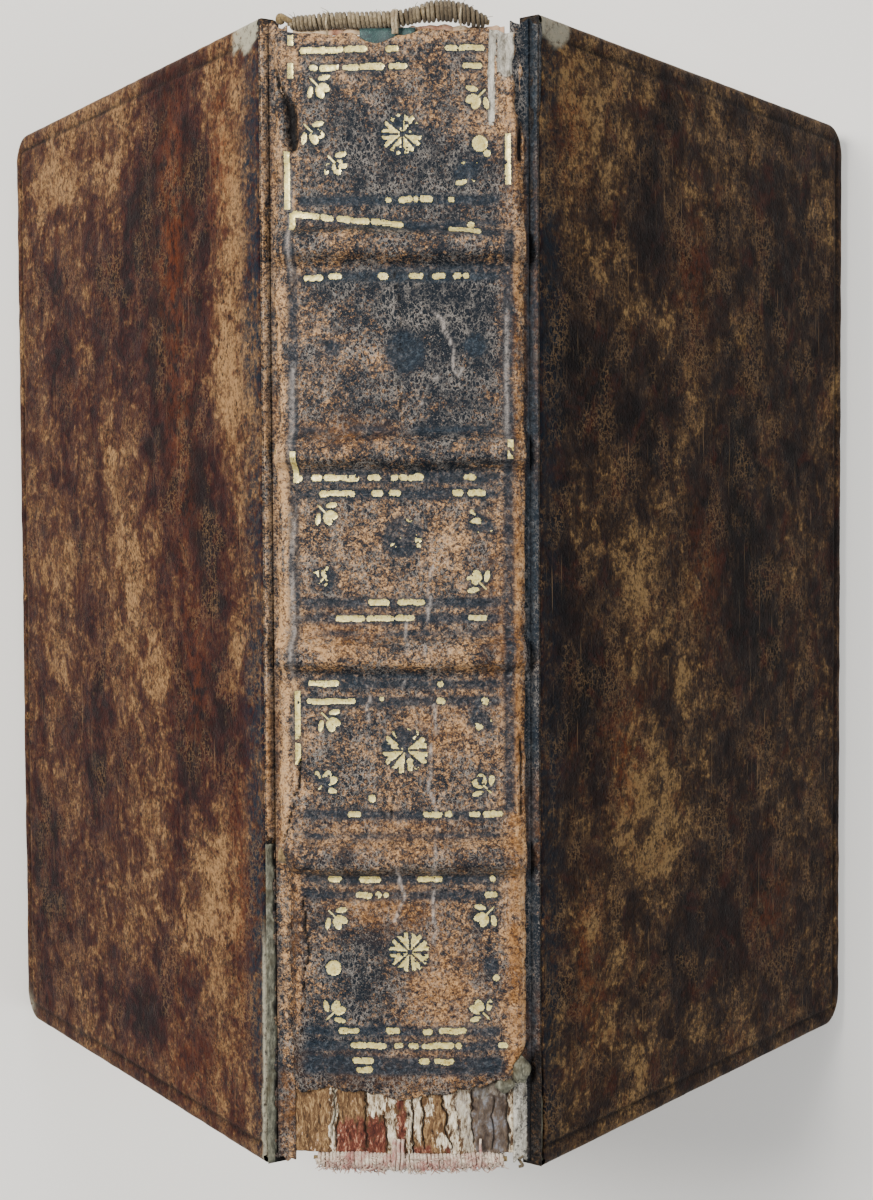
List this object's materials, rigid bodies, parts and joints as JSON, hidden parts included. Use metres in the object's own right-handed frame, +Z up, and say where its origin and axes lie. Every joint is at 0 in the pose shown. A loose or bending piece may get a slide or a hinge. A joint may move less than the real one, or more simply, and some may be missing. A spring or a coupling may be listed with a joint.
{
  "type": "prayer book",
  "caption": "Small old calf-bound prayer book on raised cords, standing tent-like on its open boards, with hinged covers, flyleaves and sewn gatherings.",
  "frame": {"origin": "centre of the book's box, on the surface that the boards' fore-edges stand on", "axes": "+Z up through the spine, +Y along the spine to the head, +X across to the front board"},
  "size_m": [0.1362, 0.1476, 0.0788],
  "materials": {
    "spine_calf": "tight-back calf, rubbed and crazed, blind and gilt tooled",
    "joint_calf": "calf cracked along the joint",
    "board_calf": "mottled and sprinkled calf with a soft sheen",
    "lining_paper": "waste paper lining with glue stains",
    "hemp_cord": "twisted hemp cord",
    "linen_thread": "plied linen thread",
    "endband_thread": "linen thread wound close, soiled",
    "endband_core": "twisted cord",
    "ribbon_silk": "faded teal silk, torn",
    "slip_cord": "frayed hemp cord pasted flat",
    "pasteboard": "grey-green pasteboard",
    "pastedown_paper": "laid paper, toned, with turn-in stains",
    "flyleaf_paper": "laid paper, toned",
    "leaf_paper": "laid text paper with red stained edges"
  },
  "bodies": {
    "spine": {"spine_leather": "spine_calf", "spine_lining_1": "lining_paper", "spine_lining_2": "lining_paper", "spine_lining_3": "lining_paper", "spine_lining_4": "lining_paper", "spine_lining_5": "lining_paper", "sewing_cord_1": "hemp_cord", "sewing_cord_2": "hemp_cord", "sewing_cord_3": "hemp_cord", "sewing_cord_4": "hemp_cord", "sewing_thread": "linen_thread", "head_kettle_stitch": "linen_thread", "tail_kettle_stitch": "linen_thread", "head_endband_core": "endband_core", "head_endband_thread": "endband_thread", "tail_endband_core": "endband_core", "tail_endband_thread": "endband_thread", "ribbon_marker": "ribbon_silk", "front_joint_leather": "joint_calf", "back_joint_leather": "joint_calf"},
    "gathering_01": {"gathering_01": "leaf_paper"},
    "gathering_02": {"gathering_02": "leaf_paper"},
    "gathering_03": {"gathering_03": "leaf_paper"},
    "gathering_04": {"gathering_04": "leaf_paper"},
    "gathering_05": {"gathering_05": "leaf_paper"},
    "gathering_06": {"gathering_06": "leaf_paper"},
    "gathering_07": {"gathering_07": "leaf_paper"},
    "gathering_08": {"gathering_08": "leaf_paper"},
    "gathering_09": {"gathering_09": "leaf_paper"},
    "gathering_10": {"gathering_10": "leaf_paper"},
    "gathering_11": {"gathering_11": "leaf_paper"},
    "gathering_12": {"gathering_12": "leaf_paper"},
    "gathering_13": {"gathering_13": "leaf_paper"},
    "gathering_14": {"gathering_14": "leaf_paper"},
    "front_flyleaf": {"front_flyleaf": "flyleaf_paper"},
    "front_cover": {"front_board": "pasteboard", "front_cover_leather": "board_calf", "front_pastedown": "pastedown_paper", "front_cord_slips": "slip_cord"},
    "back_flyleaf": {"back_flyleaf": "flyleaf_paper"},
    "back_cover": {"back_board": "pasteboard", "back_cover_leather": "board_calf", "back_pastedown": "pastedown_paper", "back_cord_slips": "slip_cord"}
  },
  "joints": [
    {"name": "leaves_open", "type": "hinge", "parent": "spine", "child": "gathering_01", "pos_m": [0.013, 0, 0.07342], "axis": [0, -1, 0], "range_deg": [-34.5, 5.5]},
    {"name": "gathering_02_fold", "type": "hinge", "parent": "spine", "child": "gathering_02", "pos_m": [0.011, 0, 0.07366], "axis": [0, -1, 0], "range_deg": [-34.5, 5.5]},
    {"name": "gathering_03_fold", "type": "hinge", "parent": "spine", "child": "gathering_03", "pos_m": [0.009, 0, 0.07386], "axis": [0, -1, 0], "range_deg": [-34.5, 5.5]},
    {"name": "gathering_04_fold", "type": "hinge", "parent": "spine", "child": "gathering_04", "pos_m": [0.007, 0, 0.07402], "axis": [0, -1, 0], "range_deg": [-34.5, 5.5]},
    {"name": "gathering_05_fold", "type": "hinge", "parent": "spine", "child": "gathering_05", "pos_m": [0.005, 0, 0.07414], "axis": [0, -1, 0], "range_deg": [-34.5, 5.5]},
    {"name": "gathering_06_fold", "type": "hinge", "parent": "spine", "child": "gathering_06", "pos_m": [0.003, 0, 0.07421], "axis": [0, -1, 0], "range_deg": [-34.5, 5.5]},
    {"name": "gathering_07_fold", "type": "hinge", "parent": "spine", "child": "gathering_07", "pos_m": [0.001, 0, 0.07425], "axis": [0, -1, 0], "range_deg": [-34.5, 5.5]},
    {"name": "gathering_08_fold", "type": "hinge", "parent": "spine", "child": "gathering_08", "pos_m": [-0.001, 0, 0.07425], "axis": [0, 1, 0], "range_deg": [-34.5, 5.5]},
    {"name": "gathering_09_fold", "type": "hinge", "parent": "spine", "child": "gathering_09", "pos_m": [-0.003, 0, 0.07421], "axis": [0, 1, 0], "range_deg": [-34.5, 5.5]},
    {"name": "gathering_10_fold", "type": "hinge", "parent": "spine", "child": "gathering_10", "pos_m": [-0.005, 0, 0.07414], "axis": [0, 1, 0], "range_deg": [-34.5, 5.5]},
    {"name": "gathering_11_fold", "type": "hinge", "parent": "spine", "child": "gathering_11", "pos_m": [-0.007, 0, 0.07402], "axis": [0, 1, 0], "range_deg": [-34.5, 5.5]},
    {"name": "gathering_12_fold", "type": "hinge", "parent": "spine", "child": "gathering_12", "pos_m": [-0.009, 0, 0.07386], "axis": [0, 1, 0], "range_deg": [-34.5, 5.5]},
    {"name": "gathering_13_fold", "type": "hinge", "parent": "spine", "child": "gathering_13", "pos_m": [-0.011, 0, 0.07366], "axis": [0, 1, 0], "range_deg": [-34.5, 5.5]},
    {"name": "gathering_14_fold", "type": "hinge", "parent": "spine", "child": "gathering_14", "pos_m": [-0.013, 0, 0.07342], "axis": [0, 1, 0], "range_deg": [-34.5, 5.5]},
    {"name": "front_cover_hinge", "type": "hinge", "parent": "gathering_01", "child": "front_cover", "pos_m": [0.01733, 0, 0.07457], "axis": [0, -1, 0], "range_deg": [0, 120], "deforming": ["front_joint_leather"]},
    {"name": "front_flyleaf_fold", "type": "hinge", "parent": "gathering_01", "child": "front_flyleaf", "pos_m": [0.01397, 0, 0.07378], "axis": [0, -1, 0], "range_deg": [0, 42]},
    {"name": "back_cover_hinge", "type": "hinge", "parent": "gathering_14", "child": "back_cover", "pos_m": [-0.01733, 0, 0.07457], "axis": [0, 1, 0], "range_deg": [0, 120], "deforming": ["back_joint_leather"]},
    {"name": "back_flyleaf_fold", "type": "hinge", "parent": "gathering_14", "child": "back_flyleaf", "pos_m": [-0.01397, 0, 0.07378], "axis": [0, 1, 0], "range_deg": [0, 42]}
  ],
  "couplings": [
    {"joint": "gathering_02_fold", "follows": "leaves_open", "ratio": 1},
    {"joint": "gathering_03_fold", "follows": "leaves_open", "ratio": 1},
    {"joint": "gathering_04_fold", "follows": "leaves_open", "ratio": 1},
    {"joint": "gathering_05_fold", "follows": "leaves_open", "ratio": 1},
    {"joint": "gathering_06_fold", "follows": "leaves_open", "ratio": 1},
    {"joint": "gathering_07_fold", "follows": "leaves_open", "ratio": 1},
    {"joint": "gathering_08_fold", "follows": "leaves_open", "ratio": 1},
    {"joint": "gathering_09_fold", "follows": "leaves_open", "ratio": 1},
    {"joint": "gathering_10_fold", "follows": "leaves_open", "ratio": 1},
    {"joint": "gathering_11_fold", "follows": "leaves_open", "ratio": 1},
    {"joint": "gathering_12_fold", "follows": "leaves_open", "ratio": 1},
    {"joint": "gathering_13_fold", "follows": "leaves_open", "ratio": 1},
    {"joint": "gathering_14_fold", "follows": "leaves_open", "ratio": 1},
    {"joint": "front_flyleaf_fold", "follows": "front_cover_hinge", "ratio": 0.35},
    {"joint": "back_flyleaf_fold", "follows": "back_cover_hinge", "ratio": 0.35}
  ]
}
